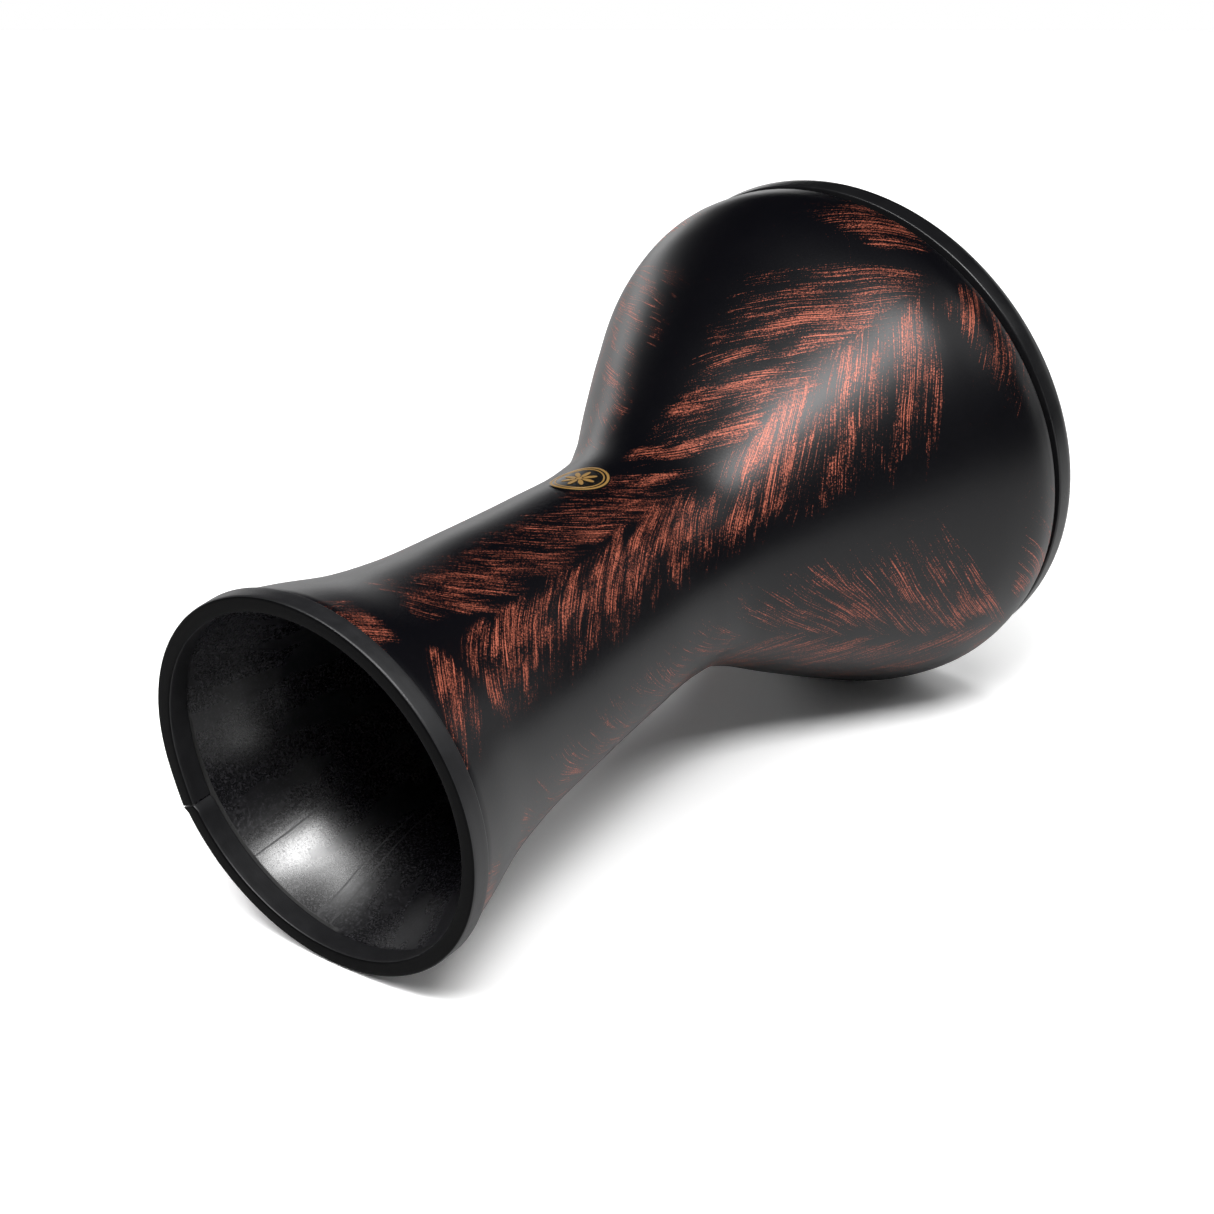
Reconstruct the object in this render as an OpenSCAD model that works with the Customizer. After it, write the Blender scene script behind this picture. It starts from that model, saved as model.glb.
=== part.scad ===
// Goblet hand drum: a moulded shell with a rubber foot trim, a film head on a hoop, and a round-nosed
// tuning ring that eight socket screws draw down on to the hoop.
// The drum stands on its foot: +Z runs up its axis, and the origin is the centre of the foot's underside.

/* [Shell outline] */
// Outside diameter of the shell at the foot, under the rubber
foot_d = 190; // [170:1:210]
// Outside diameter at the waist, the narrowest place
waist_d = 121.6; // [110:0.2:132]
// Height of the waist
waist_h = 228; // [215:1:240]
// Outside diameter of the bowl at its widest
bowl_d = 275; // [266:1:284]
// Height of the shoulder, the shell's top rim outside the head
shoulder_h = 414; // [400:1:430]
// Thickness of the shell's wall
wall = 8.5; // [5:0.5:10]
// Thickness of the wall at the foot's edge, where the rubber grips it
foot_wall = 4.5; // [3:0.5:6]

/* [Foot trim] */
// Thickness of the rubber channel
trim_t = 1.8; // [1.5:0.1:2.5]
// Height of the channel's outer lip
trim_outer_h = 10; // [8:0.5:11.5]
// Height of the channel's inner lip
trim_inner_h = 12; // [8:0.5:14]
// Direction in which the channel's two cut ends meet, in degrees
trim_joint_az = 196; // [0:1:360]

/* [Badge] */
// Height of the badge's centre on the neck
badge_h = 210; // [190:1:220]
// Direction in which the badge faces, in degrees
badge_az = -56; // [-180:1:180]
// Size of the badge up the neck
badge_tall = 29; // [20:1:36]
// Size of the badge round the neck
badge_wide = 31; // [20:1:36]
// Thickness of the badge
badge_t = 1.2; // [0.8:0.1:2]

/* [Head] */
// Outside diameter of the bearing edge that the film is stretched over
bearing_d = 228; // [220:1:230]
// Height of the bearing edge
bearing_h = 431; // [428:0.5:433]
// Thickness of the film
film_t = 0.3; // [0.2:0.05:0.5]

/* [Tuning ring] */
// Outside diameter of the tuning ring
ring_d = 271; // [268:1:275]
// Open groove between the shoulder and the tuning ring
groove = 5; // [4:0.5:7]
// Height of the ring's top, the highest place of the drum
ring_top = 436; // [434:0.5:438]
// Radius of the ring's round outer nose
nose_r = 10; // [6:0.5:10]
// Diameter of the circle that the tuning screws stand on
screw_circle_d = 252; // [251:0.5:253]

/* [Hidden] */
round_fn = 96;
eps = 0.01;

// Colours
shell_black = [0.09, 0.085, 0.09];
rubber_black = [0.06, 0.06, 0.06];
satin_black = [0.12, 0.12, 0.13];
badge_gold = [0.72, 0.50, 0.22];
film_white = [0.90, 0.89, 0.85];

// Shell outline. Each station of the neck is a share of the height from the foot to the waist with
// the share of the flare left there. Each station of the bowl is a share of the height from the
// waist to the shoulder with the share of the swell reached there.
neck_stations = [[0, 1], [0.08, 0.85], [0.22, 0.56], [0.38, 0.345], [0.59, 0.195], [0.82, 0.065]];
bowl_stations = [[0, 0], [0.13, 0.033], [0.28, 0.19], [0.47, 0.47], [0.66, 0.74], [0.82, 0.94],
                 [0.925, 1], [1, 0.98]];
flare_h = 12;                      // top of the foot's straight band, where the flare starts
full_wall_h = 64;                  // height where the wall reaches its full thickness
foot_r = foot_d / 2;
waist_r = waist_d / 2;
bowl_r = bowl_d / 2;
stations = concat(
    [for (s = neck_stations) [flare_h + s[0] * (waist_h - flare_h), waist_r + s[1] * (foot_r - waist_r)]],
    [for (s = bowl_stations) [waist_h + s[0] * (shoulder_h - waist_h), waist_r + s[1] * (bowl_r - waist_r)]]
);
outline_steps = 80;
shoulder_round = 1.5;              // rounding of the shoulder's outer edge

// Shell rim: a thick band that the bearing edge stands on and the inserts sit in
rim_under_h = shoulder_h - 30;     // where the rim's sloping underside leaves the wall
rim_inner_h = shoulder_h - 16;     // where that slope meets the rim's inner face
bearing_r = bearing_d / 2;
bearing_wall = 4;
bearing_round = 2;
bearing_inner_round = 1;

// Head: the film runs over the bearing edge and down into the hoop's resin-filled channel
film_gap = 0.05;
film_leave = 40;                   // angle on the bearing edge's round where the film leaves it
film_drop_r = bearing_r + 3.3;     // radius of the film's hanging edge
film_end_h = 419.5;
hoop_in_r = bearing_r + 1.2;
hoop_out_r = bearing_r + 5.6;
hoop_t = 1;
hoop_base_h = 417.5;
hoop_top_h = 424.5;
resin_top_h = 423.5;

// Tuning ring
ring_r = ring_d / 2;
ring_base_h = shoulder_h + groove;
ring_skirt_r = hoop_out_r + 0.4;   // bore of the skirt that hides the hoop
ring_lip_r = bearing_r + 4.2;      // bore of the lip that presses on the hoop
ring_lip_h = hoop_top_h + 0.1;
ring_inner_nose = 3.5;
ring_edge_round = 1;

// Tuning screws and what they turn in
SCREWS = 8;
screw_circle_r = screw_circle_d / 2;
seat_h = ring_top - 8;             // floor of the counterbores
washer_t = 1;
washer_r = 5.4;
washer_bore_r = 3.2;
counterbore_r = 5.6;
ring_hole_r = 3.3;
screw_r = 2.95;
screw_reach = 25;                  // length under the head
screw_head_r = 5;
screw_head_h = 6;
screw_chamfer = 0.6;
socket_across = 5;
socket_depth = 3.5;
insert_bore_r = 3;
insert_r = 4.5;
insert_len = 12;

// Slope of the outline at station i, from the stations on both sides of it
function rise(p, i) = (p[i + 1][1] - p[i][1]) / (p[i + 1][0] - p[i][0]);
function slope(p, i) =
    i == 0 ? rise(p, 0) :
    i == len(p) - 1 ? rise(p, i - 1) :
    let (a = p[i][0] - p[i - 1][0], b = p[i + 1][0] - p[i][0])
    (rise(p, i - 1) * b + rise(p, i) * a) / (a + b);

// The repeated waist station is dropped, so that no two stations share a height
outline = [for (i = [0 : len(stations) - 1]) if (i == 0 || stations[i][0] > stations[i - 1][0]) stations[i]];

// Number of the outline's span that holds height z, and the smooth radius there
function span(z, i = 0) = i >= len(outline) - 2 || z <= outline[i + 1][0] ? i : span(z, i + 1);
function shell_r(z) =
    let (i = span(z), a = outline[i], b = outline[i + 1], h = b[0] - a[0], t = (z - a[0]) / h)
    a[1] * (2 * pow(t, 3) - 3 * pow(t, 2) + 1) + slope(outline, i) * h * (pow(t, 3) - 2 * pow(t, 2) + t)
    + b[1] * (3 * pow(t, 2) - 2 * pow(t, 3)) + slope(outline, i + 1) * h * (pow(t, 3) - pow(t, 2));

// Point of the outline at height z, moved out from the surface by d
function skin(z, d) =
    let (k = (shell_r(z + 0.5) - shell_r(z - 0.5)), n = sqrt(1 + k * k))
    [shell_r(z) + d / n, z - k * d / n];

// Thickness of the wall at height z: it swells smoothly from the foot's edge
function wall_at(z) =
    let (t = min(1, max(0, (z - flare_h) / (full_wall_h - flare_h))))
    foot_wall + (wall - foot_wall) * t * t * (3 - 2 * t);

function skin_run(z0, z1, d, steps) = [for (i = [0 : steps]) skin(z0 + (z1 - z0) * i / steps, d)];
function lining_run(z0, z1, steps) =
    [for (i = [0 : steps]) let (z = z0 + (z1 - z0) * i / steps) skin(z, -wall_at(z))];
function arc(c, r, a0, a1, steps = 8) =
    [for (i = [0 : steps]) let (a = a0 + (a1 - a0) * i / steps) c + r * [cos(a), sin(a)]];
function reversed(v) = [for (i = [len(v) - 1 : -1 : 0]) v[i]];
function screw_az(i) = 360 * (i + 0.5) / SCREWS;

module at_screw(i) {
    rotate([0, 0, screw_az(i)]) translate([screw_circle_r, 0, 0]) children();
}

module lathe(points) {
    rotate_extrude($fn = round_fn) polygon(points);
}

// Moulded goblet shell, open at the foot, with the rim and the bearing edge at the top
module shell() {
    shoulder_r = shell_r(shoulder_h);
    under_rim = skin(rim_under_h, -wall);
    color(shell_black) difference() {
        lathe(concat(
            [[foot_r, trim_t]],
            skin_run(flare_h, shoulder_h - shoulder_round, 0, outline_steps),
            arc([shoulder_r - shoulder_round, shoulder_h - shoulder_round], shoulder_round, 30, 90, 3),
            [[bearing_r, shoulder_h]],
            arc([bearing_r - bearing_round, bearing_h - bearing_round], bearing_round, 0, 90),
            arc([bearing_r - bearing_wall + bearing_inner_round, bearing_h - bearing_inner_round],
                bearing_inner_round, 90, 180, 4),
            [[bearing_r - bearing_wall, rim_inner_h], under_rim],
            reversed(lining_run(flare_h + 1, rim_under_h - 3, outline_steps)),
            [[foot_r - foot_wall, flare_h - 2], [foot_r - foot_wall, trim_t]]
        ));
        for (i = [0 : SCREWS - 1]) {
            at_screw(i) translate([0, 0, shoulder_h - insert_len])
                cylinder(r = insert_r, h = insert_len + eps, $fn = 48);
        }
    }
}

// Brass inserts moulded into the rim
module threaded_inserts() {
    color("goldenrod") for (i = [0 : SCREWS - 1]) {
        at_screw(i) translate([0, 0, shoulder_h - insert_len]) difference() {
            cylinder(r = insert_r, h = insert_len, $fn = 48);
            translate([0, 0, -eps]) cylinder(r = insert_bore_r, h = insert_len + 2 * eps, $fn = 48);
        }
    }
}

// Rubber channel pushed over the shell's foot edge, its two cut ends meeting at one place
module foot_trim() {
    out_r = foot_r + trim_t;
    in_r = foot_r - foot_wall - trim_t;
    corner = 1.2;
    joint_gap = 0.4;               // degrees
    color(rubber_black) rotate([0, 0, trim_joint_az + joint_gap / 2])
        rotate_extrude(angle = 360 - joint_gap, $fn = round_fn)
            polygon(concat(
                [[in_r + corner, 0]],
                arc([out_r - corner, corner], corner, -90, 0, 5),
                [[out_r, trim_outer_h - 0.6], [out_r - 0.6, trim_outer_h], [foot_r, trim_outer_h]],
                [[foot_r, trim_t], [foot_r - foot_wall, trim_t], [foot_r - foot_wall, flare_h - 2]],
                [[foot_r - foot_wall - 0.6, trim_inner_h], [in_r + 0.4, trim_inner_h], [in_r, trim_inner_h - 0.6]],
                arc([in_r + corner, corner], corner, 180, 270, 5)
            ));
}

// Oval badge, bent to the neck it is stuck on
module badge() {
    low = badge_h - badge_tall / 2 - 2;
    high = badge_h + badge_tall / 2 + 2;
    color(badge_gold) intersection() {
        lathe(concat(skin_run(low, high, badge_t, 12), reversed(skin_run(low, high, 0, 12))));
        rotate([0, 0, badge_az]) translate([0, 0, badge_h]) rotate([0, 90, 0])
            linear_extrude(2 * waist_r) scale([badge_tall / badge_wide, 1]) circle(d = badge_wide, $fn = 72);
    }
}

// Stretched film: a flat disc whose edge turns down over the bearing edge into the hoop
module head_film() {
    turn = [bearing_r - bearing_round, bearing_h - bearing_round];
    under = bearing_round + film_gap;
    leave = turn + under * [cos(film_leave), sin(film_leave)];
    fall = film_drop_r - leave[0];
    bend_h = leave[1] - fall * cos(film_leave) / sin(film_leave);
    color(film_white) lathe(concat(
        [[0, bearing_h + film_gap]],
        arc(turn, under, 90, film_leave),
        [[film_drop_r, bend_h], [film_drop_r, film_end_h], [film_drop_r + film_t, film_end_h]],
        [[film_drop_r + film_t, bend_h + film_t / 2]],
        arc(turn, under + film_t, film_leave, 90),
        [[0, bearing_h + film_gap + film_t]]
    ));
}

// Aluminium channel, open at the top, that carries the film's edge
module head_hoop() {
    color("silver") lathe([
        [hoop_in_r, hoop_base_h], [hoop_out_r, hoop_base_h], [hoop_out_r, hoop_top_h],
        [hoop_out_r - hoop_t, hoop_top_h], [hoop_out_r - hoop_t, hoop_base_h + hoop_t],
        [hoop_in_r + hoop_t, hoop_base_h + hoop_t], [hoop_in_r + hoop_t, hoop_top_h],
        [hoop_in_r, hoop_top_h]
    ]);
}

// Resin that fills the channel round the film's edge
module head_resin() {
    low = hoop_base_h + hoop_t;
    color("khaki") lathe([
        [hoop_in_r + hoop_t, low], [hoop_out_r - hoop_t, low], [hoop_out_r - hoop_t, resin_top_h],
        [film_drop_r + film_t, resin_top_h], [film_drop_r + film_t, film_end_h],
        [film_drop_r, film_end_h], [film_drop_r, resin_top_h], [hoop_in_r + hoop_t, resin_top_h]
    ]);
}

// Cast ring with a round nose, a lip that presses on the hoop, and counterbored screw holes
module tuning_ring() {
    color(satin_black) difference() {
        lathe(concat(
            [[ring_skirt_r, ring_base_h]],
            arc([ring_r - ring_edge_round, ring_base_h + ring_edge_round], ring_edge_round, -90, 0, 4),
            arc([ring_r - nose_r, ring_top - nose_r], nose_r, 0, 90, 12),
            arc([ring_lip_r + ring_inner_nose, ring_top - ring_inner_nose], ring_inner_nose, 90, 180),
            [[ring_lip_r, ring_lip_h], [ring_skirt_r, ring_lip_h]]
        ));
        for (i = [0 : SCREWS - 1]) {
            at_screw(i) translate([0, 0, seat_h]) cylinder(r = counterbore_r, h = 20, $fn = 48);
            at_screw(i) translate([0, 0, ring_base_h - 1]) cylinder(r = ring_hole_r, h = 20, $fn = 48);
        }
    }
}

// Nylon washers on the counterbore floors
module screw_washers() {
    color("ivory") for (i = [0 : SCREWS - 1]) {
        at_screw(i) translate([0, 0, seat_h]) difference() {
            cylinder(r = washer_r, h = washer_t, $fn = 48);
            translate([0, 0, -eps]) cylinder(r = washer_bore_r, h = washer_t + 2 * eps, $fn = 48);
        }
    }
}

// Socket-head tuning screw number i, counted from 0
module tuning_screw(i) {
    under_head = seat_h + washer_t;
    top = under_head + screw_head_h;
    tip = under_head - screw_reach;
    color("dimgray") at_screw(i) difference() {
        rotate_extrude($fn = 48) polygon([
            [0, tip], [screw_r - screw_chamfer, tip], [screw_r, tip + screw_chamfer],
            [screw_r, under_head], [screw_head_r, under_head], [screw_head_r, top - screw_chamfer],
            [screw_head_r - screw_chamfer, top], [0, top]
        ]);
        translate([0, 0, top - socket_depth])
            cylinder(d = socket_across / cos(30), h = socket_depth + 1, $fn = 6);
    }
}

shell();
threaded_inserts();
foot_trim();
badge();
head_film();
head_hoop();
head_resin();
tuning_ring();
screw_washers();
tuning_screw(0);  // tuning_screw_1
tuning_screw(1);  // tuning_screw_2
tuning_screw(2);  // tuning_screw_3
tuning_screw(3);  // tuning_screw_4
tuning_screw(4);  // tuning_screw_5
tuning_screw(5);  // tuning_screw_6
tuning_screw(6);  // tuning_screw_7
tuning_screw(7);  // tuning_screw_8
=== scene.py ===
from math import atan2, cos, degrees, hypot, radians, sin

import bpy
from mathutils import Matrix, Vector


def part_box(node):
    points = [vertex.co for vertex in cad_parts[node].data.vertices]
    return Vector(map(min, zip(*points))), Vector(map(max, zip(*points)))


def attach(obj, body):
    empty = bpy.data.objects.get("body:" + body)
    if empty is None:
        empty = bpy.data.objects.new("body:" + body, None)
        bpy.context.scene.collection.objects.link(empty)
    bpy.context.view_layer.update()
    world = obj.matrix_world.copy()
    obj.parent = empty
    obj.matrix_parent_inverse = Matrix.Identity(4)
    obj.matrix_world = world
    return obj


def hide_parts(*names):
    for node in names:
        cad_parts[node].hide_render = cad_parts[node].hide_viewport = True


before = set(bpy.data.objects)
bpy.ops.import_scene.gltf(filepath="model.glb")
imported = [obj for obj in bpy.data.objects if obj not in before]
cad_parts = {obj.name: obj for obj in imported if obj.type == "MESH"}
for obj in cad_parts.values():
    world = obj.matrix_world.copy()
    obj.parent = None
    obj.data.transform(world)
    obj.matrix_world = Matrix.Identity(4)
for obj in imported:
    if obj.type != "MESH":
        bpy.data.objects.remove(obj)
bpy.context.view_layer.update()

# Goblet hand drum: moulded shell with dry-brushed copper, rubber foot trim, badge, film head and
# tuning ring. The part's frame has the drum upright, +Z up its axis. It is shown lying on its side,
# so the floor, the lights and the camera are placed round it as they stand round the lying drum.

MM = 0.001


# ---------------------------------------------------------------- sizes, in millimetres
def corner(node, end, axis):
    """One side of a CAD node's box, in millimetres."""
    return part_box(node)[end][axis] / MM


LOW, HIGH = 0, 1
X, Y, Z = 0, 1, 2

trim_thick = 1.8
trim_outer_r = corner("foot_trim", HIGH, Y)
trim_inner_h = corner("foot_trim", HIGH, Z)
trim_outer_h = trim_inner_h - 2
trim_joint_az = 196
trim_joint_gap = 0.5     # degrees
foot_r = trim_outer_r - trim_thick
bowl_r = corner("shell", HIGH, X)
bearing_h = corner("shell", HIGH, Z)
rim_tall = 17
shoulder_h = bearing_h - rim_tall
shoulder_round = 1.5
waist_r = 60.8
waist_h = 228
wall = 8.5
foot_wall = 4.5
flare_h = 12
full_wall_h = 64
bearing_r = 114
bearing_wall = 4
insert_hole_r = 4.5
insert_hole_deep = 12
ring_r = corner("tuning_ring", HIGH, X)
ring_base_h = corner("tuning_ring", LOW, Z)
ring_top_h = corner("tuning_ring", HIGH, Z)
ring_nose_round = 10
ring_lip_round = 3.5
ring_lip_h = 424.6
ring_skirt_play = 0.4
ring_lip_play = 4.2
hoop_outer_r = corner("head_hoop", HIGH, X)
screws = 8
screw_circle_r = 126
screw_head_hole_r = 5.6
screw_head_hole_deep = 8
screw_shank_hole_r = 3.3
badge_az = -56
badge_h = 210
badge_wide = 31
badge_tall = 29
badge_face = 0.5         # height of the enamel over the shell
rosette_petals = 8
rosette_circle_r = 5.5
rosette_thick = 0.12

# Share of the height from the foot to the waist, with the share of the flare left there
neck_stations = [(0, 1), (0.08, 0.85), (0.22, 0.56), (0.38, 0.345), (0.59, 0.195), (0.82, 0.065)]
# Share of the height from the waist to the shoulder, with the share of the swell reached there
bowl_stations = [(0, 0), (0.13, 0.033), (0.28, 0.19), (0.47, 0.47), (0.66, 0.74), (0.82, 0.94),
                 (0.925, 1), (1, 0.98)]
stations = [(flare_h + rise * (waist_h - flare_h), waist_r + flare * (foot_r - waist_r))
            for rise, flare in neck_stations]
stations += [(waist_h + rise * (shoulder_h - waist_h), waist_r + swell * (bowl_r - waist_r))
             for rise, swell in bowl_stations]


def station_slope(i):
    """Slope of the outline at station i, from the stations on both sides of it."""
    def leg(j):
        return (stations[j + 1][1] - stations[j][1]) / (stations[j + 1][0] - stations[j][0])
    if i == 0:
        return leg(0)
    if i == len(stations) - 1:
        return leg(i - 1)
    before = stations[i][0] - stations[i - 1][0]
    after = stations[i + 1][0] - stations[i][0]
    return (leg(i - 1) * after + leg(i) * before) / (before + after)


def shell_radius(height):
    """Outside radius of the shell at a height: a smooth curve through the stations."""
    i = 0
    while i < len(stations) - 2 and height > stations[i + 1][0]:
        i += 1
    (h0, r0), (h1, r1) = stations[i], stations[i + 1]
    span = h1 - h0
    t = (height - h0) / span
    from_low = r0 * (2 * t ** 3 - 3 * t ** 2 + 1) + station_slope(i) * span * (t ** 3 - 2 * t ** 2 + t)
    from_high = r1 * (3 * t ** 2 - 2 * t ** 3) + station_slope(i + 1) * span * (t ** 3 - t ** 2)
    return from_low + from_high


def skin(height, out):
    """Point of the outline at a height, moved out from the surface."""
    slope = shell_radius(height + 0.5) - shell_radius(height - 0.5)
    length = hypot(1, slope)
    return shell_radius(height) + out / length, height - slope * out / length


def skin_run(start, end, out, steps):
    """Points of the outline between two heights, moved out from the surface."""
    return [skin(start + (end - start) * i / steps, out) for i in range(steps + 1)]


def wall_at(height):
    """Thickness of the wall: it swells smoothly from the foot's edge."""
    t = min(1, max(0, (height - flare_h) / (full_wall_h - flare_h)))
    return foot_wall + (wall - foot_wall) * t * t * (3 - 2 * t)


def lining_run(start, end, steps):
    """Points of the inside wall between two heights of the outside."""
    heights = [start + (end - start) * i / steps for i in range(steps + 1)]
    return [skin(height, -wall_at(height)) for height in heights]


def arc(centre, radius, start, end, steps=6):
    """Points of an arc in an outline, from one angle to another in degrees."""
    turns = [radians(start + (end - start) * i / steps) for i in range(steps + 1)]
    return [(centre[0] + radius * cos(a), centre[1] + radius * sin(a)) for a in turns]


def around(radius, azimuth, height):
    """Point in metres from a radius and height in millimetres and an azimuth in degrees."""
    a = radians(azimuth)
    return Vector((radius * cos(a), radius * sin(a), height)) * MM


# ---------------------------------------------------------------- shader arithmetic
class Level:
    """A number that varies over a surface: one socket, with the arithmetic it is used in."""

    def __init__(self, finish, socket):
        self.finish = finish
        self.socket = socket

    def math(self, operation, *others, clamp=False):
        values = {0: self}
        values.update({i + 1: other for i, other in enumerate(others)})
        return self.finish.node("ShaderNodeMath", {"operation": operation, "use_clamp": clamp}, values)

    def __add__(self, other):
        return self.math("ADD", other)

    def __radd__(self, other):
        return self.math("ADD", other)

    def __sub__(self, other):
        return self.math("SUBTRACT", other)

    def __rsub__(self, other):
        return self.finish.node("ShaderNodeMath", {"operation": "SUBTRACT"}, {0: other, 1: self})

    def __mul__(self, other):
        return self.math("MULTIPLY", other)

    def __rmul__(self, other):
        return self.math("MULTIPLY", other)

    def __truediv__(self, other):
        return self.math("DIVIDE", other)

    def floor(self):
        return self.math("FLOOR")

    def fract(self):
        return self.math("FRACT")

    def size(self):
        return self.math("ABSOLUTE")

    def least(self, other):
        return self.math("MINIMUM", other)

    def most(self, other):
        return self.math("MAXIMUM", other)

    def step(self, low, high):
        """0 below low, 1 above high, smooth between."""
        return self.finish.node(
            "ShaderNodeMapRange", {"interpolation_type": "SMOOTHSTEP"},
            {"Value": self, "From Min": low, "From Max": high, "To Min": 0, "To Max": 1})

    def window(self, low, high, soft):
        """1 between low and high, fading over a soft edge."""
        return self.step(low - soft, low + soft) * (1 - self.step(high - soft, high + soft))


class Finish:
    """A material under construction: one principled shader and the nodes that feed it."""

    def __init__(self, name):
        self.material = bpy.data.materials.new(name)
        self.material.use_nodes = True
        self.tree = self.material.node_tree
        self.tree.nodes.clear()

    def node(self, kind, settings=None, values=None, out=0):
        """Adds a node: its settings first, then its sockets' values or links. Returns one output."""
        made = self.tree.nodes.new(kind)
        for name, value in (settings or {}).items():
            setattr(made, name, value)
        for name, value in (values or {}).items():
            self.feed(made.inputs[name], value)
        return Level(self, made.outputs[out]) if len(made.outputs) else None

    def feed(self, socket, value):
        """Links a level to a socket, or sets the socket's own value."""
        if isinstance(value, Level):
            self.tree.links.new(value.socket, socket)
        elif isinstance(value, (tuple, list)) and socket.type == "RGBA":
            socket.default_value = (*value, 1.0)
        else:
            socket.default_value = value

    def place(self):
        """Object coordinates in millimetres, as one vector."""
        spot = self.node("ShaderNodeTexCoord", out="Object")
        return self.node("ShaderNodeVectorMath", {"operation": "SCALE"}, {0: spot, "Scale": 1 / MM})

    def parts(self, vector):
        """The three numbers of a vector."""
        split = self.node("ShaderNodeSeparateXYZ", values={0: vector})
        return [Level(self, out) for out in split.socket.node.outputs]

    def vector(self, x, y, z):
        return self.node("ShaderNodeCombineXYZ", values={0: x, 1: y, 2: z})

    def noise(self, vector, scale=1.0, detail=2.0, roughness=0.5):
        return self.node(
            "ShaderNodeTexNoise", {"noise_dimensions": "3D"},
            {"Vector": vector, "Scale": scale, "Detail": detail, "Roughness": roughness})

    def mix(self, share, low, high):
        """Mix of two colours."""
        return self.node("ShaderNodeMix", {"data_type": "RGBA"}, {0: share, 6: low, 7: high}, out=2)

    def bump(self, height, distance, strength):
        """Normal of a relief: its height's share of a distance in metres."""
        values = {"Height": height, "Distance": distance, "Strength": strength}
        return self.node("ShaderNodeBump", values=values)

    def shade(self, **values):
        """The principled shader, with socket names written with underscores."""
        sockets = {name.replace("_", " "): value for name, value in values.items()}
        shader = self.node("ShaderNodeBsdfPrincipled", values=sockets)
        self.node("ShaderNodeOutputMaterial", values={"Surface": shader})
        return self.material


# ---------------------------------------------------------------- finishes
spines = 4
spine_turn = 360 / spines
first_spine_az = -16

# Layers of strokes: width, shift of the lanes in widths, then the range of starts, of stops and of
# loads of paint. Widths are millimetres at the spine, starts and stops are degrees out from it.
side_layers = (
    (17, 0.2, (-5, 6), (34, 60), (0.5, 1.0)),
    (10.5, 0.6, (-7, 9), (22, 50), (0.1, 1.0)),
    (5.5, 0.4, (-3, 18), (30, 70), (-0.1, 0.85)),
)
rim_layer = (13, 0.3, (2, 8), (30, 48), (0.7, 1.3))
foot_layer = (9, 0.1, (-2, 3), (34, 52), (0.85, 1.3))

# Strokes placed one by one beside the first spine: middle, width, start, stop and load of paint
placed_right = (
    (215, 13, -3, 22, 0.95), (175, 13, 1, 19, 1.15), (252, 15, 5, 29, 0.8), (152, 16, 3, 18, 0.95),
    (133, 14, 4, 22, 0.95), (112, 13, 2, 24, 0.85), (92, 9, 3, 26, 0.8), (303, 20, -3, 15, 1.0),
    (352, 18, -3, 12, 0.85), (378, 14, 1, 30, 0.7),
)
placed_left = (
    (93, 11, -2, 17, 1.1), (288, 15, 0, 36, 1.0), (257, 14, 7, 30, 0.85), (220, 12, -2, 26, 0.8),
    (191, 12, 3, 28, 0.75), (158, 12, 5, 30, 0.8), (322, 26, 0, 32, 0.8), (362, 18, 0, 24, 0.8),
)


dry_level = 0.395        # what the grain has to pass to show copper in the thinnest stroke
cover_gain = 0.385       # how far a full stroke lowers that
fullest_cover = 1.1
fainter_elsewhere = 0.25  # share of paint that the other spines lack against the first


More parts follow.
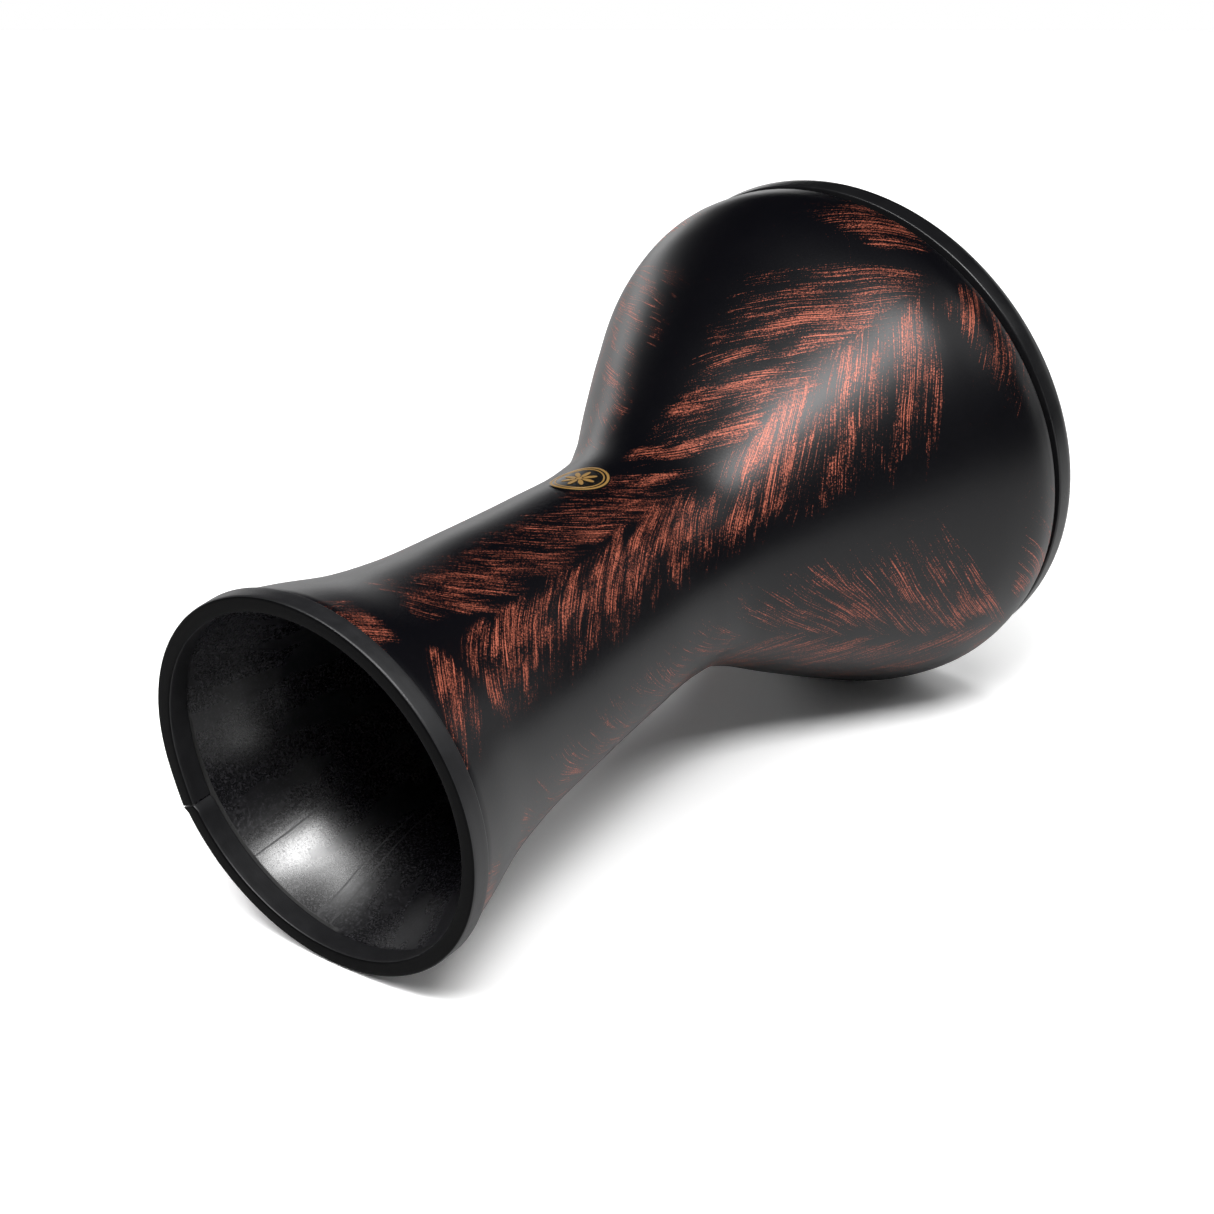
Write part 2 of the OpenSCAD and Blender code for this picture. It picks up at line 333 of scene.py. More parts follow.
class Brushwork:
    """Dry-brushed copper: strokes that sweep down on both sides of each spine."""

    def __init__(self, finish):
        self.finish = finish
        self.spot = finish.place()
        x, y, self.height = finish.parts(self.spot)
        azimuth = y.math("ARCTAN2", x) * degrees(1)
        turns = (azimuth - first_spine_az) / spine_turn
        nearest = (turns + 0.5).floor()
        self.spine = (nearest + spines).math("MODULO", spines)
        drift = finish.noise(finish.vector(self.spine * 7.3, 0, self.height / 55), detail=1) - 0.5
        self.beside = (turns - nearest) * spine_turn + drift * 6
        self.tooth = finish.noise(self.spot, 1.1, 3, 0.7) - 0.5

    def streaks(self, along, over, length, thick, seed, detail=1, roughness=0.5):
        """Noise drawn out along the strokes: length in degrees, thickness in millimetres."""
        finish = self.finish
        place = finish.vector(along / length, over / thick, seed)
        return finish.noise(place, detail=detail, roughness=roughness) - 0.5

    def sweep(self, sign, seed, drop):
        """What one side's strokes share. Drop gives their fall at an angle beside the spine."""
        out = self.beside * sign
        sway = self.streaks(out, self.height, 30, 30, self.spine * 5.1 + seed)
        across = self.height + drop(out) + sway * 5
        own = self.spine * 3.7 + seed
        tilt = self.dice(across / 19 + 0.35, seed + 9)[0] - 0.5
        bristle = across + tilt * out * 0.45
        hair = self.streaks(out, bristle, 40, 0.5, own)
        dash = self.streaks(out, bristle, 10, 0.52, own + 40, detail=2, roughness=0.6)
        clump = self.streaks(out, bristle, 14, 1.9, own + 80)
        patch = self.streaks(out, across, 10, 15, own + 120, detail=2)
        grain = hair * 1.3 + dash * 1.25 + clump * 0.6 + self.tooth * 1.35
        return {"out": out, "across": across, "grain": grain, "hair": hair, "patch": patch,
                "seed": seed}

    def dice(self, lane, seed, number=0):
        """Three random values that hold along one lane."""
        finish = self.finish
        place = finish.vector(lane.floor(), self.spine * 2 + seed, number)
        thrown = finish.node(
            "ShaderNodeTexWhiteNoise", {"noise_dimensions": "3D"}, {"Vector": place}, out="Color")
        return finish.parts(thrown)

    def cover(self, side, width, shift, start, end, load, number):
        """Share of paint in one layer of strokes. Each has its own start, end and load."""
        lane = side["across"] / width + shift
        first, second, third = self.dice(lane, side["seed"], number)
        begin = first * (start[1] - start[0]) + start[0] + side["hair"] * 14
        stop = second * (end[1] - end[0]) + end[0] - side["hair"] * 60
        amount = third * (load[1] - load[0]) + load[0]
        share = (side["out"] - begin) / (stop - begin).most(2)
        ends = share.step(0, 0.09) * (1 - share.step(0.2, 1.1) * 0.9) * (1 - share.step(0.9, 1.4))
        edge = ((lane.fract() - 0.5).size() * 2).math("POWER", 5)
        return amount * ends * (1 - edge * 0.5)

    def stroke(self, side, middle, width, start, stop, load):
        """One stroke from the lists, placed beside the first spine."""
        edge = ((side["across"] - middle) / (width / 2)).size()
        body = 1 - (edge + side["hair"] * 1.2).step(0.75, 1.1)
        begin = side["out"] - side["hair"] * 12
        ends = begin.window(start, stop, 1.6)
        return body * ends * self.at_first_spine() * load

    def at_first_spine(self):
        """1 round the first spine, 0 round the others."""
        return 1 - self.spine.step(0.2, 0.4)

    def depth(self, side, cover):
        """Height of the paint above bare: positive where there is copper."""
        cover = cover * (1 - self.spine.step(0.2, 0.4) * fainter_elsewhere)
        cover = cover * (1 - (side["out"] + side["hair"] * 30).step(29, 45))
        spread = cover * (1 + side["patch"] * 3.0) + side["patch"] * 0.25
        bare = (1 - cover.step(0.02, 0.14)) * 0.3
        return side["grain"] - dry_level + spread.least(fullest_cover) * cover_gain - bare


def side_paint(work, sign, seed):
    """The long run of strokes from above the foot to the shoulder, on one side of each spine."""
    right = sign > 0
    full_fall, fall_reach = 73, 33
    side = work.sweep(
        sign, seed, lambda out: full_fall - (out / -fall_reach).math("EXPONENT") * full_fall)
    wide, middle, narrow = [
        work.cover(side, *layer, i + 1 + seed) for i, layer in enumerate(side_layers)]
    cover = wide.most(middle).most(narrow)
    body = side["across"].window(64, 396, 5) * work.height.step(44, 54)
    if not right:
        bare_gap = 1 - side["across"].window(265, 279, 3) * 0.9
        body = body * bare_gap * (0.8 + work.height.step(230, 260) * 0.2)
    for stroke in placed_right if right else placed_left:
        cover = cover.most(work.stroke(side, *stroke))
    return work.depth(side, cover * body)


def rim_paint(work, sign, seed):
    """The short strokes on the shoulder, under the ring."""
    rim = work.sweep(sign, seed + 23, lambda out: out * 2.1)
    cover = work.cover(rim, *rim_layer, 4 + seed)
    cover = cover * work.height.step(383, 391) * rim["out"].window(4, 36, 2)
    return work.depth(rim, cover)


def foot_paint(work, sign, seed):
    """The short strokes on the flare of the foot."""
    right = sign > 0
    fall = 1.15 if right else 3.2
    foot = work.sweep(sign, seed + 57, lambda out: out * fall)
    cover = work.cover(foot, *foot_layer, 5 + seed)
    band = work.height.window(-9, 42, 4) if right else work.height.window(-9, 25, 4)
    reach = foot["across"].window(34, 66, 3) if right else foot["out"].window(5, 27, 3)
    return work.depth(foot, cover * band * reach)


def brushed_copper():
    """Satin black shell with copper dry-brushed over it."""
    finish = Finish("brushed_copper")
    work = Brushwork(finish)
    depths = []
    for sign, seed in ((1, 0.0), (-1, 11.0)):
        for group in (side_paint, rim_paint, foot_paint):
            depths.append(group(work, sign, seed))
    depth = depths[0]
    for other in depths[1:]:
        depth = depth.most(other)
    paint = depth.step(-0.02, 0.05)
    thick = depth.step(0.02, 0.34)
    blotch = finish.noise(work.spot, 0.07, 3)
    black = finish.mix(blotch, (0.0010, 0.0010, 0.0022), (0.0024, 0.0022, 0.0036))
    copper = finish.mix(thick, (0.13, 0.034, 0.022), (0.56, 0.148, 0.088))
    copper = finish.mix(blotch.step(0.4, 0.7) * thick, copper, (0.62, 0.17, 0.105))
    colour = finish.mix(paint, black, copper)
    dust = finish.noise(work.spot, 0.9, 2)
    rough = 0.335 + paint * 0.07 + (dust - 0.5) * 0.05
    return finish.shade(
        Base_Color=colour, Roughness=rough, Metallic=paint * 0.2, Specular_IOR_Level=0.42,
        Normal=finish.bump(dust, 0.00008, 0.25))


def moulded_inside():
    """Bare moulded inside of the shell: glossy black with dust, scuffs and faint mould lines, and a
    painted shadow line behind the rubber's lip.
    """
    finish = Finish("moulded_inside")
    spot = finish.place()
    x, y, height = finish.parts(spot)
    azimuth = y.math("ARCTAN2", x) * degrees(1)
    flow = finish.noise(finish.vector(azimuth / 14, height / 50, 3), detail=3)
    speck = finish.noise(spot, 0.9, 4, 0.75)
    scuff = finish.noise(finish.vector(azimuth / 3, height / 1.5, 8), detail=4, roughness=0.65)
    dust = speck.step(0.5, 0.66) * (0.35 + flow) + scuff.step(0.56, 0.7) * 0.5
    dusted = dust.math("MULTIPLY", 1, clamp=True)
    colour = finish.mix(dusted, (0.002, 0.002, 0.003), (0.035, 0.033, 0.04))
    seam = 0
    for seam_az in (173, 146, 141):
        seam = seam + 1 - (azimuth - seam_az + (flow - 0.5) * 3).size().step(0.2, 0.34)
    # Painted shade: a black, rougher line on the wall just past the rubber's inner lip, where the
    # lip's shadow falls.
    painted_lip_shadow = height.window(12, 14.4, 0.3) * azimuth.size().step(135, 140)
    dull = (seam * 0.6 + painted_lip_shadow).least(1)
    colour = finish.mix(painted_lip_shadow, colour, (0.0005, 0.0005, 0.0005))
    rough = 0.27 + (flow - 0.5) * 0.12 + dust * 0.16 + dull * 0.5
    return finish.shade(
        Base_Color=colour, Roughness=rough, Specular_IOR_Level=1.0, Coat_Weight=(1 - dull) * 0.6,
        Coat_Roughness=0.24, Normal=finish.bump(flow + speck * 0.03, 0.0006, 0.5))


def foot_rubber(name, dark, light, rough, shine):
    """Soft black rubber with a dry bloom and fine handling marks."""
    finish = Finish(name)
    spot = finish.place()
    grain = finish.noise(spot, 1.6, 3, 0.6)
    bloom = finish.noise(spot, 0.12, 3, 0.6)
    colour = finish.mix(bloom, (dark, dark, dark * 1.1), (light, light, light * 1.1))
    return finish.shade(
        Base_Color=colour, Roughness=rough + (bloom - 0.5) * 0.16 + (grain - 0.5) * 0.1,
        Specular_IOR_Level=shine, Normal=finish.bump(grain, 0.0002, 0.3))


def badge_enamel():
    """Black enamel of the badge's field."""
    finish = Finish("badge_enamel")
    grain = finish.noise(finish.place(), 0.6, 2)
    colour = finish.mix(grain, (0.004, 0.004, 0.004), (0.009, 0.008, 0.007))
    return finish.shade(Base_Color=colour, Roughness=0.3 + (grain - 0.5) * 0.1)


def badge_gold():
    """Printed gold, a little uneven."""
    finish = Finish("badge_gold")
    grain = finish.noise(finish.place(), 2.2, 2)
    colour = finish.mix(grain, (0.30, 0.165, 0.045), (0.46, 0.27, 0.08))
    return finish.shade(Base_Color=colour, Metallic=0.2, Roughness=0.45 + (grain - 0.5) * 0.2)


def satin_black():
    """Black powder coat on the cast ring."""
    finish = Finish("satin_black")
    spot = finish.place()
    peel = finish.noise(spot, 0.8, 2)
    wear = finish.noise(spot, 0.08, 3)
    colour = finish.mix(wear, (0.006, 0.006, 0.007), (0.012, 0.012, 0.013))
    return finish.shade(
        Base_Color=colour, Roughness=0.3 + (wear - 0.5) * 0.15,
        Normal=finish.bump(peel, 0.0001, 0.3))


def plain_finish(name, low, high, rough, metallic=0.0):
    """A small part's finish: two close shades, mottled, with a little grain."""
    finish = Finish(name)
    spot = finish.place()
    mottle = finish.noise(spot, 0.25, 3)
    tooth = finish.noise(spot, 1.5, 2)
    return finish.shade(
        Base_Color=finish.mix(mottle, low, high), Roughness=rough + (mottle - 0.5) * 0.15,
        Metallic=metallic, Normal=finish.bump(tooth, 0.0001, 0.3))


# ---------------------------------------------------------------- modelling by operators
def deselect():
    """Back to object mode, with nothing selected."""
    if bpy.context.object and bpy.context.object.mode != "OBJECT":
        bpy.ops.object.mode_set(mode="OBJECT")
    bpy.ops.object.select_all(action="DESELECT")


def pick(piece):
    """Selects the piece alone and makes it active."""
    deselect()
    piece.select_set(True)
    bpy.context.view_layer.objects.active = piece


def settle(piece):
    """Puts the piece's origin at the frame's origin, unturned and unscaled."""
    pick(piece)
    bpy.ops.object.transform_apply(location=True, rotation=True, scale=True)
    return piece


def turned(name, outline, steps, closed=True, start=0.0, angle=360.0):
    """A piece turned about the drum's axis from an outline of (radius, height) points."""
    deselect()
    first = Vector((outline[0][0], 0, outline[0][1])) * MM
    bpy.ops.mesh.primitive_plane_add(size=MM, location=first)
    piece = bpy.context.object
    piece.name = piece.data.name = name
    bpy.ops.object.mode_set(mode="EDIT")
    bpy.ops.mesh.merge(type="CENTER")
    points = outline[1:] + (outline[:1] if closed else [])
    last = outline[0]
    for point in points:
        move = ((point[0] - last[0]) * MM, 0, (point[1] - last[1]) * MM)
        bpy.ops.mesh.extrude_vertices_move(TRANSFORM_OT_translate={"value": move})
        last = point
    bpy.ops.mesh.select_all(action="SELECT")
    bpy.ops.mesh.remove_doubles(threshold=1e-6)
    if start:
        bpy.ops.transform.rotate(value=-radians(start), orient_axis="Z", center_override=(0, 0, 0))
    bpy.ops.mesh.spin(steps=steps, angle=radians(angle), center=(0, 0, 0), axis=(0, 0, 1))
    bpy.ops.mesh.select_all(action="SELECT")
    bpy.ops.mesh.remove_doubles(threshold=2e-6)
    if angle < 360:
        bpy.ops.mesh.fill_holes(sides=0)
    bpy.ops.mesh.select_all(action="SELECT")
    bpy.ops.mesh.normals_make_consistent(inside=False)
    bpy.ops.object.mode_set(mode="OBJECT")
    return settle(piece)


def smooth(piece, angle=35):
    """Shades the piece smooth, with edges sharper than the angle kept crisp."""
    pick(piece)
    bpy.ops.object.shade_smooth_by_angle(angle=radians(angle))


def bore(piece, drills):
    """Cuts each drill (radius, bottom, top) at every screw place."""
    cutters = []
    for radius, bottom, top in drills:
        for i in range(screws):
            deselect()
            middle = around(screw_circle_r, 360 * (i + 0.5) / screws, (bottom + top) / 2)
            bpy.ops.mesh.primitive_cylinder_add(
                vertices=48, radius=radius * MM, depth=(top - bottom) * MM, location=middle)
            cutters.append(bpy.context.object)
    deselect()
    for cutter in cutters:
        cutter.select_set(True)
    bpy.context.view_layer.objects.active = cutters[0]
    bpy.ops.object.join()
    drill = settle(bpy.context.object)
    pick(piece)
    cut = piece.modifiers.new("holes", "BOOLEAN")
    cut.operation = "DIFFERENCE"
    cut.solver = "MANIFOLD"
    cut.object = drill
    bpy.ops.object.modifier_apply(modifier=cut.name)
    bpy.data.objects.remove(drill, do_unlink=True)
    piece.data.materials.clear()


def finished(piece, body, slot, *nodes):
    """The piece stands for its CAD nodes and moves with their body."""
    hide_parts(*nodes)
    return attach(piece, body)


# ---------------------------------------------------------------- pieces
def make_shell():
    """Goblet shell, turned from one outline: up the outside, over the rim and down the inside."""
    shoulder_r = shell_radius(shoulder_h)
    inner_foot_r = foot_r - foot_wall
    inner_bearing_r = bearing_r - bearing_wall
    outer_round, inner_round = 2, 1
    outline = [(foot_r, trim_thick), (foot_r, flare_h / 2)]
    outline += skin_run(flare_h, shoulder_h - shoulder_round, 0, 116)
    round_centre = (shoulder_r - shoulder_round, shoulder_h - shoulder_round)
    outline += arc(round_centre, shoulder_round, 20, 90, 4)
    outline += [(shoulder_r - 6, shoulder_h), (bearing_r + 1, shoulder_h), (bearing_r, shoulder_h)]
    outline += [(bearing_r, shoulder_h + 6)]
    outline += arc((bearing_r - outer_round, bearing_h - outer_round), outer_round, 0, 90)
    outline += arc((inner_bearing_r + inner_round, bearing_h - inner_round), inner_round, 90, 180, 4)
    outline += [(inner_bearing_r, shoulder_h), (inner_bearing_r, shoulder_h - 16)]
    outline += [skin(shoulder_h - 30, -wall)]
    outline += lining_run(shoulder_h - 33, flare_h + 1, 110)
    outline += [(inner_foot_r, flare_h - 2), (inner_foot_r, 5), (inner_foot_r, trim_thick)]
    shell = turned("shell_moulded", outline, steps=180)
    bore(shell, [(insert_hole_r, shoulder_h - insert_hole_deep, shoulder_h + 1)])
    shell.data.materials.append(brushed_copper())
    shell.data.materials.append(moulded_inside())
    painted, bare = 0, 1
    for face in shell.data.polygons:
        middle = face.center / MM
        radius = hypot(middle.x, middle.y)
        mid_wall_r = shell_radius(max(middle.z, flare_h)) - foot_wall / 2
        outside = flare_h / 3 < middle.z <= shoulder_h + 0.1 and radius > mid_wall_r
        top = middle.z > shoulder_h - 0.1 and radius > bearing_r
        face.material_index = painted if outside or top else bare
    smooth(shell)
    return finished(shell, "drum", "shell", "shell")


def trim_shift(azimuth, height, inner):
    """How far the rubber stands out from its round: proud at the joint, leaning in at the lip."""
    proud, proud_reach = 1.5, 14
    past_joint = azimuth - trim_joint_az
    shift = 0
    if past_joint >= 0:
        shift = proud * max(0, 1 - abs(past_joint - trim_joint_gap / 2) / proud_reach) ** 2
    lean, lean_from_h, lean_tall = 0.45, 7, 5
    loose_from_az, loose_to_az, loose_fade = 139, 230, 12
    if inner and height > lean_from_h:
        starts = min(1, max(0, (azimuth - loose_from_az) / loose_fade))
        stops = min(1, max(0, (loose_to_az - azimuth) / loose_fade))
        shift -= lean * starts * stops * (height - lean_from_h) / lean_tall
    return shift


def make_foot_trim():
    """Rubber channel pushed over the foot's edge, with one butt joint."""
    channel_r = foot_r - foot_wall
    inner_r = channel_r - trim_thick
    inner_round, lip_round, top_round, outer_round = 1.2, 0.6, 0.8, 1.6
    middle_r = 92
    outline = arc((inner_r + inner_round, inner_round), inner_round, 270, 180, 5)
    outline += [(inner_r, 4), (inner_r, 8), (inner_r + 0.1, trim_inner_h - 0.8)]
    outline += arc((inner_r + 0.1 + lip_round, trim_inner_h - lip_round), lip_round, 170, 30, 4)
    outline += [(channel_r - 0.3, trim_inner_h - 2.5), (channel_r, 6), (channel_r, trim_thick)]
    outline += [(foot_r, trim_thick), (foot_r, trim_outer_h - 1)]
    outline += arc((trim_outer_r - top_round, trim_outer_h - top_round), top_round, 110, 0, 4)
    outline += [(trim_outer_r, 7), (trim_outer_r, 4)]
    outline += arc((trim_outer_r - outer_round, outer_round), outer_round, 0, -90, 6)
    outline += [(middle_r, 0)]
    trim = turned("foot_trim_rubber", outline, steps=200, start=trim_joint_az + trim_joint_gap / 2,
                  angle=360 - trim_joint_gap)
    for vertex in trim.data.vertices:
        spot = vertex.co / MM
        azimuth = degrees(atan2(spot.y, spot.x)) % 360
        radius = hypot(spot.x, spot.y)
        shift = trim_shift(azimuth, spot.z, radius < foot_r - foot_wall / 2)
        vertex.co = around(radius + shift, azimuth, spot.z)
    trim.data.materials.append(foot_rubber("foot_rubber", 0.009, 0.017, 0.42, 0.5))
    # Painted shade: the underside is the same rubber in darker shades, less shiny, so the downward
    # face reads darker.
    trim.data.materials.append(foot_rubber("foot_rubber_underside_painted_shade", 0.002, 0.005, 0.5, 0.04))
    sides, underside = 0, 1
    underside_h = 0.6
    for face in trim.data.polygons:
        face.material_index = underside if face.center.z < underside_h * MM else sides
    smooth(trim, 50)
    return finished(trim, "drum", "rubber", "foot_trim")


def make_ring():
    """Cast tuning ring: round nose, lip over the hoop, and stepped holes for the screws."""
    skirt_r = hoop_outer_r + ring_skirt_play
    lip_r = bearing_r + ring_lip_play
    nose_h = ring_top_h - ring_nose_round
    head_seat_h = ring_top_h - screw_head_hole_deep
    outline = [(skirt_r, ring_base_h)]
    outline += arc((ring_r - 1, ring_base_h + 1), 1, -90, 0, 4)
    outline += arc((ring_r - ring_nose_round, nose_h), ring_nose_round, 0, 90, 16)
    outline += arc((lip_r + ring_lip_round, ring_top_h - ring_lip_round), ring_lip_round, 90, 180, 8)
    outline += [(lip_r, ring_lip_h), (skirt_r, ring_lip_h)]
    ring = turned("tuning_ring_cast", outline, steps=200)
    bore(ring, [(screw_head_hole_r, head_seat_h, ring_top_h + 2),
                (screw_shank_hole_r, ring_base_h - 1, head_seat_h + 1)])
    ring.data.materials.append(satin_black())
    smooth(ring)
    return finished(ring, "tuning_ring", "ring", "tuning_ring")


def wrap_on_neck(piece):
    """Bends a flat piece round the neck: its X runs round the neck, its Y up it, its Z out of it."""
    for vertex in piece.data.vertices:
        flat = vertex.co / MM
        height = badge_h + flat.y
        radius = shell_radius(height)
        vertex.co = around(radius + flat.z, badge_az + degrees(flat.x / radius), height)


def make_badge_plate(gold):
    """Enamel plate with two raised gold rims, round and flat."""
    edge_r = badge_wide / 2
    inner_rim, outer_rim = (11.9, 12.7), (13.7, 15)
    outline = [(radius, badge_face) for radius in (0, 3, 6, 8.5, 10.5, inner_rim[0])]
    outline += [(12, 0.6), (12.6, 0.6), (inner_rim[1], badge_face), (outer_rim[0], badge_face)]
    outline += [(13.8, 0.62), (14.7, 0.62), (outer_rim[1], badge_face), (edge_r, 0.3), (edge_r, -0.4)]
    plate = turned("badge_plate", outline, steps=96, closed=False)
    plate.data.materials.append(badge_enamel())
    plate.data.materials.append(gold)
    field, gilt = 0, 1
    for face in plate.data.polygons:
        radius = hypot(face.center.x, face.center.y) / MM
        on_rim = inner_rim[0] < radius < inner_rim[1] or outer_rim[0] < radius < outer_rim[1]
        face.material_index = gilt if on_rim else field
    return plate


def make_badge_rosette(gold):
    """Rosette of long petals round a boss, round and flat."""
    petal_long, petal_wide, boss_r = 3.6, 1.3, 1.6
    petals = []
    for i in range(rosette_petals):
        deselect()
        turn = 360 / rosette_petals * i
        bpy.ops.mesh.primitive_circle_add(
            vertices=24, radius=MM, fill_type="NGON",
            location=around(rosette_circle_r, turn, badge_face))
        petal = bpy.context.object
        petal.scale = (petal_long, petal_wide, 1)
        petal.rotation_euler = (0, 0, radians(turn))
        petals.append(petal)
    deselect()
    bpy.ops.mesh.primitive_circle_add(
        vertices=24, radius=boss_r * MM, fill_type="NGON", location=(0, 0, badge_face * MM))
    petals.append(bpy.context.object)
    for petal in petals:
        petal.select_set(True)
    bpy.ops.object.join()
    rosette = settle(bpy.context.object)
    rosette.name = rosette.data.name = "badge_rosette"
    rise = {"value": (0, 0, rosette_thick * MM)}
    bpy.ops.object.mode_set(mode="EDIT")
    bpy.ops.mesh.select_all(action="SELECT")
    bpy.ops.mesh.extrude_region_move(TRANSFORM_OT_translate=rise)
    bpy.ops.mesh.select_all(action="SELECT")
    bpy.ops.mesh.normals_make_consistent(inside=False)
    bpy.ops.object.mode_set(mode="OBJECT")
    rosette.data.materials.append(gold)
    return rosette


def make_badge():
    """Oval badge: black enamel with two gold rims and an eight-petal rosette."""
    gold = badge_gold()
    for part in (make_badge_plate(gold), make_badge_rosette(gold)):
        pick(part)
        part.scale.y = badge_tall / badge_wide
        settle(part)
        wrap_on_neck(part)
        smooth(part, 30)
        finished(part, "drum", "badge", "badge")


# ---------------------------------------------------------------- studio
rest_az = 131.5          # side of the drum that lies on the floor, in degrees


def floor_plane():
    """The floor's upward normal and its distance, from the foot's edge and the bowl's widest line."""
    foot_touch_h = 1.5
    bowl_heights = range(300, int(shoulder_h))
    lean = max(atan2(shell_radius(h) - trim_outer_r, h - foot_touch_h) for h in bowl_heights)
    side = radians(rest_az)
    normal = Vector((-cos(side) * cos(lean), -sin(side) * cos(lean), sin(lean)))
    distance = 0.0
    for node in ("foot_trim", "shell"):
        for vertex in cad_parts[node].data.vertices:
            distance = min(distance, normal.dot(vertex.co))
    return normal, distance


def look(thing, place, target, up):
    """Puts a camera or light at a place, facing a target, with its top side up."""
    forward = (target - place).normalized()
    right = forward.cross(up).normalized()
    top = right.cross(forward)
    turn = Matrix((right, top, -forward)).transposed().to_4x4()
    thing.matrix_world = Matrix.Translation(place) @ turn


softbox_distance = 1.6
camera_place = Vector((1.195, 0.0, -0.833))
camera_target = Vector((0.0, 0.008, 0.208))
up, floor_distance = floor_plane()


def studio_direction(elevation, azimuth):
    """Direction seen from the camera's side: azimuth 0 is beyond the drum, 90 to the right."""
    forward = camera_target - camera_place
    forward = (forward - up * forward.dot(up)).normalized()
    right = forward.cross(up)
    e, a = radians(elevation), radians(azimuth)
    return (forward * cos(a) + right * sin(a)) * cos(e) + up * sin(e)


def add_camera():
    """Long lens, looking into the foot and along the drum."""
    deselect()
    bpy.ops.object.camera_add()
    camera = bpy.context.object
    camera.data.lens = 95.4
    camera.data.sensor_width = 36
    camera.data.clip_end = 20
    look(camera, camera_place, camera_target, up)
    bpy.context.scene.camera = camera


def add_softbox(name, elevation, azimuth, width, tall, power, lights_only=None):
    """A softbox facing the drum. It lights everything, or only one object."""
    deselect()
    bpy.ops.object.light_add(type="AREA")
    lamp = bpy.context.object
    lamp.name = name
    lamp.data.shape = "RECTANGLE"
    lamp.data.size = width
    lamp.data.size_y = tall
    lamp.data.energy = power
    lamp.visible_camera = False
    place = camera_target + studio_direction(elevation, azimuth) * softbox_distance
    look(lamp, place, camera_target, up)
    if lights_only:
        group = bpy.data.collections.new(name + "_lights")
        group.objects.link(lights_only)
        lamp.light_linking.receiver_collection = group


def add_floor():
    """White floor under the lying drum, clear from below, brighter to the camera than to the drum."""
    deselect()
    bpy.ops.mesh.primitive_plane_add(size=1)
    floor = bpy.context.object
    floor.name = "studio_floor"
    forward = studio_direction(0, 0)
    right = studio_direction(0, 90)
    near, far, half, clearance = -0.8, 1.44, 1.4, 0.0004
    base = up * (floor_distance - clearance) + (camera_target - up * camera_target.dot(up))
    for vertex in floor.data.vertices:
        side = (1 if vertex.co.x > 0 else -1) * half
        along = far if vertex.co.y > 0 else near
        vertex.co = base + right * side + forward * along
    sheet = Finish("studio_white")
    behind = sheet.node("ShaderNodeNewGeometry", out="Backfacing")
    seen = sheet.node("ShaderNodeLightPath", out="Is Camera Ray")
    bounced = sheet.node("ShaderNodeBsdfDiffuse", values={"Color": (0.6, 0.6, 0.6)})
    exposed = sheet.node("ShaderNodeBsdfDiffuse", values={"Color": (1.22, 1.22, 1.22)})
    white = sheet.node("ShaderNodeMixShader", values={0: seen, 1: bounced, 2: exposed})
    clear = sheet.node("ShaderNodeBsdfTransparent")
    cover = sheet.node("ShaderNodeMixShader", values={0: behind, 1: white, 2: clear})
    sheet.node("ShaderNodeOutputMaterial", values={"Surface": cover})
    floor.data.materials.append(sheet.material)
    return floor


def add_world():
    """White to the camera, almost dark to everything else."""
    world = bpy.data.worlds.new("studio")
    bpy.context.scene.world = world
    world.use_nodes = True
    tree = world.node_tree
    tree.nodes.clear()
    seen = tree.nodes.new("ShaderNodeLightPath")
    white = tree.nodes.new("ShaderNodeBackground")
    white.inputs["Color"].default_value = (1, 1, 1, 1)
    dim = tree.nodes.new("ShaderNodeBackground")
    dim.inputs["Color"].default_value = (0.9, 0.95, 1, 1)
    dim.inputs["Strength"].default_value = 0.01
    mix = tree.nodes.new("ShaderNodeMixShader")
    out = tree.nodes.new("ShaderNodeOutputWorld")
    tree.links.new(seen.outputs["Is Camera Ray"], mix.inputs[0])
    tree.links.new(dim.outputs[0], mix.inputs[1])
    tree.links.new(white.outputs[0], mix.inputs[2])
    tree.links.new(mix.outputs[0], out.inputs["Surface"])


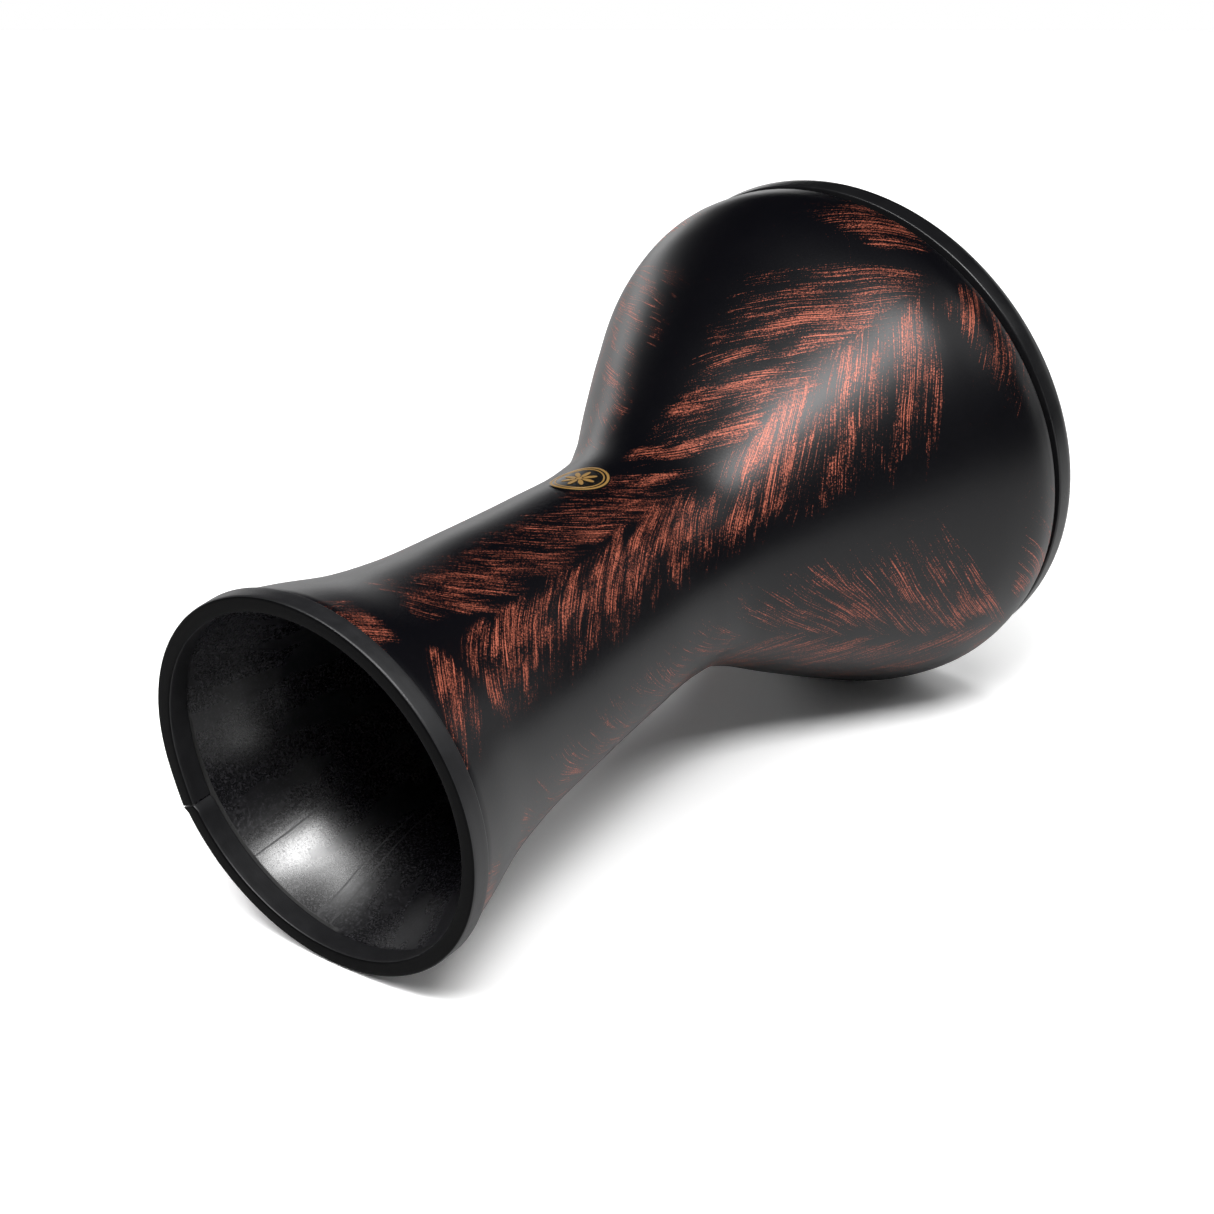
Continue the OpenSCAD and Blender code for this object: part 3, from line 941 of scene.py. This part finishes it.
# Name, elevation, azimuth, width and height in metres, and power of each softbox
drum_lights = (
    ("key_overhead", 57, 160, 0.9, 0.4, 17),
    ("fill_right", 42, 98, 0.8, 0.6, 2),
    ("glow_beyond", 4, -20, 1.6, 0.3, 3.0),
    ("glow_behind", 58, -158, 1.3, 0.3, 14),
    ("glow_behind_left", 58, -118, 0.5, 0.3, 4),
    ("glow_right", 8, 50, 1.3, 0.4, 1.2),
)
# Name, elevation, azimuth and power of each softbox that lights the floor alone
floor_lights = (
    ("floor_beyond", 24, 15, 5.2), ("floor_left", 24, -90, 3), ("floor_behind_left", 45, -142, 8),
    ("floor_low_left", 6, -150, 2.1), ("floor_overhead", 62, 0, 4.5), ("floor_right", 62, 60, 2.5),
)
floor_softbox = 0.6


def add_lights(floor):
    for name, elevation, azimuth, width, tall, power in drum_lights:
        add_softbox(name, elevation, azimuth, width, tall, power)
    for name, elevation, azimuth, power in floor_lights:
        add_softbox(name, elevation, azimuth, floor_softbox, floor_softbox, power, floor)


# ---------------------------------------------------------------- assembly
add_camera()
add_world()
add_lights(add_floor())
bpy.context.scene.view_settings.view_transform = "Standard"

make_shell()
make_foot_trim()
make_ring()
make_badge()

# The CAD nodes that stay in sight, with better finishes
small_finishes = {
    "threaded_inserts": plain_finish("brass", (0.62, 0.38, 0.14), (0.75, 0.50, 0.2), 0.28, 1.0),
    "head_film": plain_finish("milky_film", (0.78, 0.77, 0.72), (0.85, 0.84, 0.8), 0.45),
    "head_hoop": plain_finish("spun_aluminium", (0.6, 0.6, 0.61), (0.72, 0.72, 0.73), 0.35, 1.0),
    "head_resin": plain_finish("amber_resin", (0.35, 0.24, 0.1), (0.45, 0.32, 0.15), 0.2),
    "screw_washers": plain_finish("nylon", (0.72, 0.70, 0.64), (0.8, 0.78, 0.72), 0.5),
}
blackened_steel = plain_finish(
    "blackened_steel", (0.03, 0.03, 0.032), (0.06, 0.06, 0.062), 0.35, 0.9)
for i in range(1, screws + 1):
    small_finishes["tuning_screw_%d" % i] = blackened_steel
for node, material in small_finishes.items():
    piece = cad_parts[node]
    for slot in piece.material_slots:
        slot.material = material
